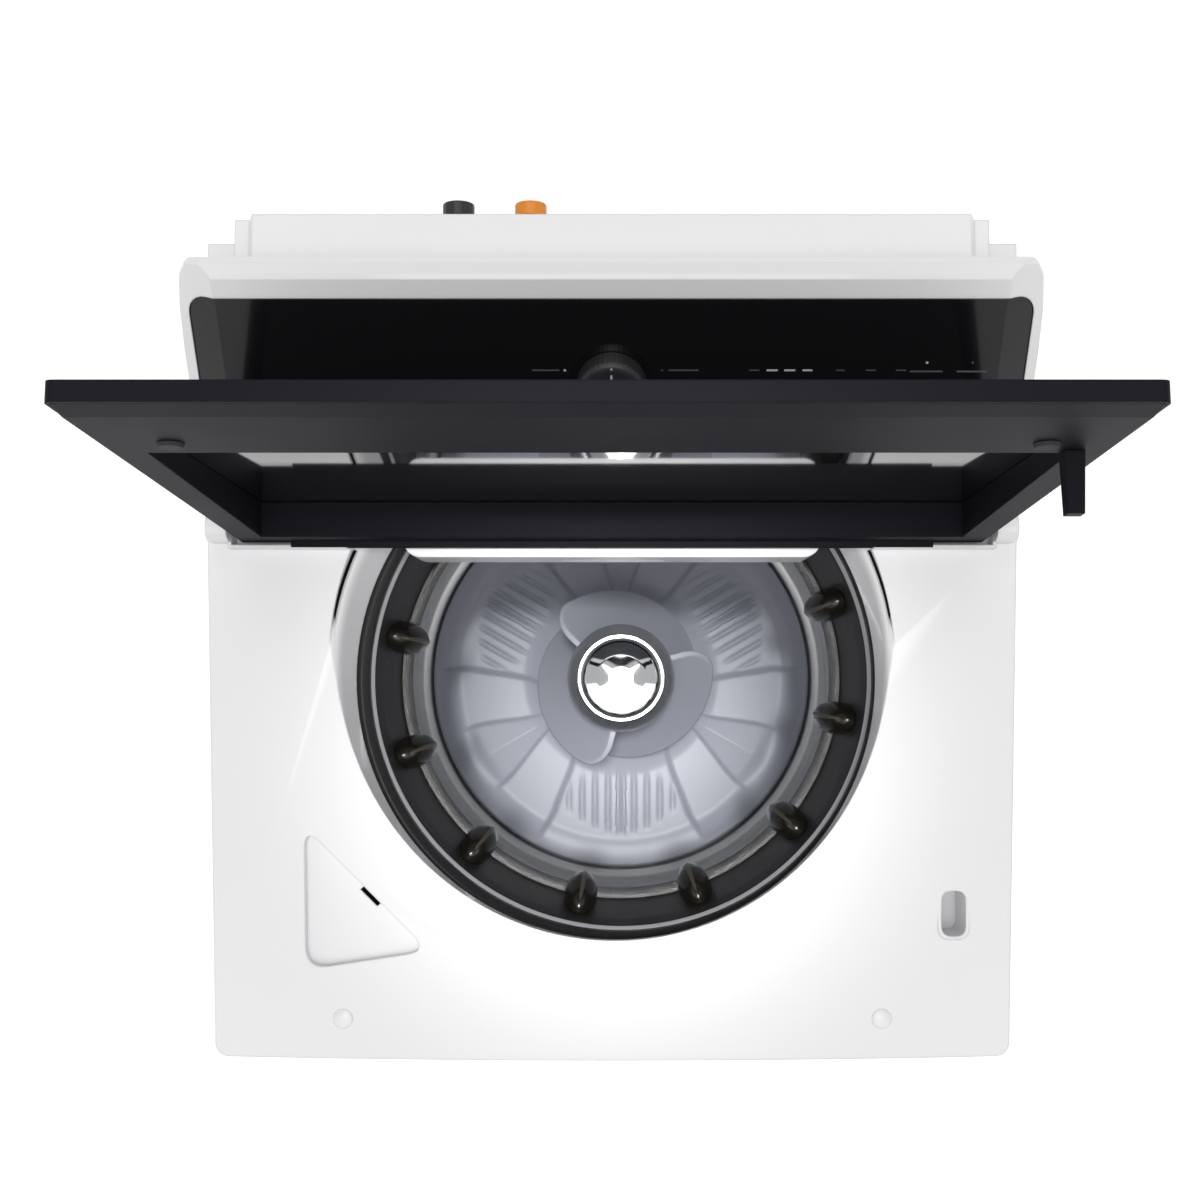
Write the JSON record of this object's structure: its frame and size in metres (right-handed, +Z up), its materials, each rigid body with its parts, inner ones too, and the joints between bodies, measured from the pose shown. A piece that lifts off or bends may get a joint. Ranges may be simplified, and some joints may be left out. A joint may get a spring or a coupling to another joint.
{
  "type": "top load washing machine",
  "caption": "Top-loading washing machine with a glass-windowed lid on a rear hinge, a steel basket with a finned agitator post, a sloping control console and a pull-out dispenser.",
  "frame": {"origin": "on the floor, at the centre of the box round the whole machine with its lid standing open", "axes": "+X to the machine's right as seen from the front, +Y to the back, where the console and the water inlets are, +Z up"},
  "size_m": [0.686, 0.7216, 1.4583],
  "materials": {
    "white_plastic": "satin gloss white moulded plastic",
    "white_steel": "satin white powder coat",
    "zinc": "zinc-plated steel",
    "black_rubber": "matt black rubber",
    "dark_plastic": "satin dark grey plastic",
    "gloss_black": "high gloss black plastic",
    "board": "matt green circuit board",
    "tub_plastic": "matt pale grey plastic",
    "orange_plastic": "satin orange plastic",
    "navy_plastic": "satin navy-black plastic",
    "dark_glass": "dark tinted tempered glass",
    "steel": "brushed stainless steel",
    "scoop_plastic": "near-black brown plastic",
    "aluminium": "cast aluminium",
    "plate_grey": "satin blue-grey plastic",
    "chrome": "bright chrome",
    "copper": "lacquered copper windings in a plastic frame"
  },
  "bodies": {
    "cabinet": {"cabinet": "white_steel", "rear_panel": "zinc", "base_frame": "zinc", "foot_front_left": "black_rubber", "foot_front_right": "black_rubber", "foot_rear_left": "black_rubber", "foot_rear_right": "black_rubber", "deck": "white_plastic", "lid_lock": "dark_plastic", "console_shell": "white_plastic", "console_panel": "gloss_black", "control_board": "board", "rear_housing": "white_plastic", "inlet_valve": "tub_plastic", "cold_inlet_cap": "dark_plastic", "hot_inlet_cap": "orange_plastic", "fill_hose": "black_rubber", "power_gland": "dark_plastic", "drain_outlet": "tub_plastic", "dispenser_housing": "white_plastic", "rod_front_left": "zinc", "rod_front_right": "zinc", "rod_rear_left": "zinc", "rod_rear_right": "zinc", "spring_front_left": "zinc", "spring_front_right": "zinc", "spring_rear_left": "zinc", "spring_rear_right": "zinc", "drain_pump": "dark_plastic", "sump_bellows": "black_rubber", "drain_hose": "black_rubber"},
    "lid": {"lid_shell": "navy_plastic", "lid_frame": "navy_plastic", "lid_glass": "dark_glass", "lid_bumper_left": "black_rubber", "lid_bumper_right": "black_rubber", "lid_hook": "navy_plastic", "hinge_pin_left": "zinc", "hinge_pin_right": "zinc"},
    "dial": {"dial": "dark_plastic"},
    "power_button": {"power_button": "dark_plastic"},
    "start_button": {"start_button": "dark_plastic"},
    "drawer": {"dispenser_drawer": "white_plastic"},
    "tub": {"outer_tub": "tub_plastic", "tub_cover": "dark_plastic", "bearing_housing": "aluminium", "upper_bearing": "zinc", "lower_bearing": "zinc", "stator": "copper"},
    "basket": {"basket_wall": "steel", "basket_base": "steel", "balance_ring": "dark_plastic", "scoop_ring": "scoop_plastic", "basket_hub": "aluminium"},
    "agitator": {"wash_plate": "plate_grey", "agitator_post": "plate_grey", "agitator_cap": "chrome", "wash_shaft": "zinc", "rotor": "dark_plastic"},
    "clutch": {"clutch_slider": "zinc"}
  },
  "joints": [
    {"name": "lid_hinge", "type": "hinge", "parent": "cabinet", "child": "lid", "pos_m": [0, 0.0964, 1.005], "axis": [1, 0, 0], "range_deg": [0, 100.7]},
    {"name": "tub_drop", "type": "slide", "parent": "cabinet", "child": "tub", "axis": [0, 0, 1], "range_m": [-0.02, 0.008], "stiffness_N_per_m": 12955, "springref_m": 0.035, "deforming": ["spring_front_left", "spring_front_right", "spring_rear_left", "spring_rear_right", "sump_bellows"]},
    {"name": "basket_spin", "type": "hinge", "parent": "tub", "child": "basket", "pos_m": [0.0075, -0.03, 0.5], "axis": [0, 0, 1], "continuous": true},
    {"name": "agitator_spin", "type": "hinge", "parent": "tub", "child": "agitator", "pos_m": [0.0075, -0.03, 0.4], "axis": [0, 0, 1], "continuous": true},
    {"name": "clutch_shift", "type": "slide", "parent": "basket", "child": "clutch", "axis": [0, 0, 1], "range_m": [0, 0.006]},
    {"name": "dial_spin", "type": "hinge", "parent": "cabinet", "child": "dial", "pos_m": [0, 0.20242, 1.07868], "axis": [0, -0.5693, 0.8221], "continuous": true},
    {"name": "power_press", "type": "slide", "parent": "cabinet", "child": "power_button", "axis": [0, 0.5693, -0.8221], "range_m": [0, 0.0015], "stiffness_N_per_m": 400},
    {"name": "start_press", "type": "slide", "parent": "cabinet", "child": "start_button", "axis": [0, 0.5693, -0.8221], "range_m": [0, 0.0015], "stiffness_N_per_m": 400},
    {"name": "drawer_slide", "type": "slide", "parent": "cabinet", "child": "drawer", "axis": [0, -1, 0], "range_m": [0, 0.11]}
  ]
}
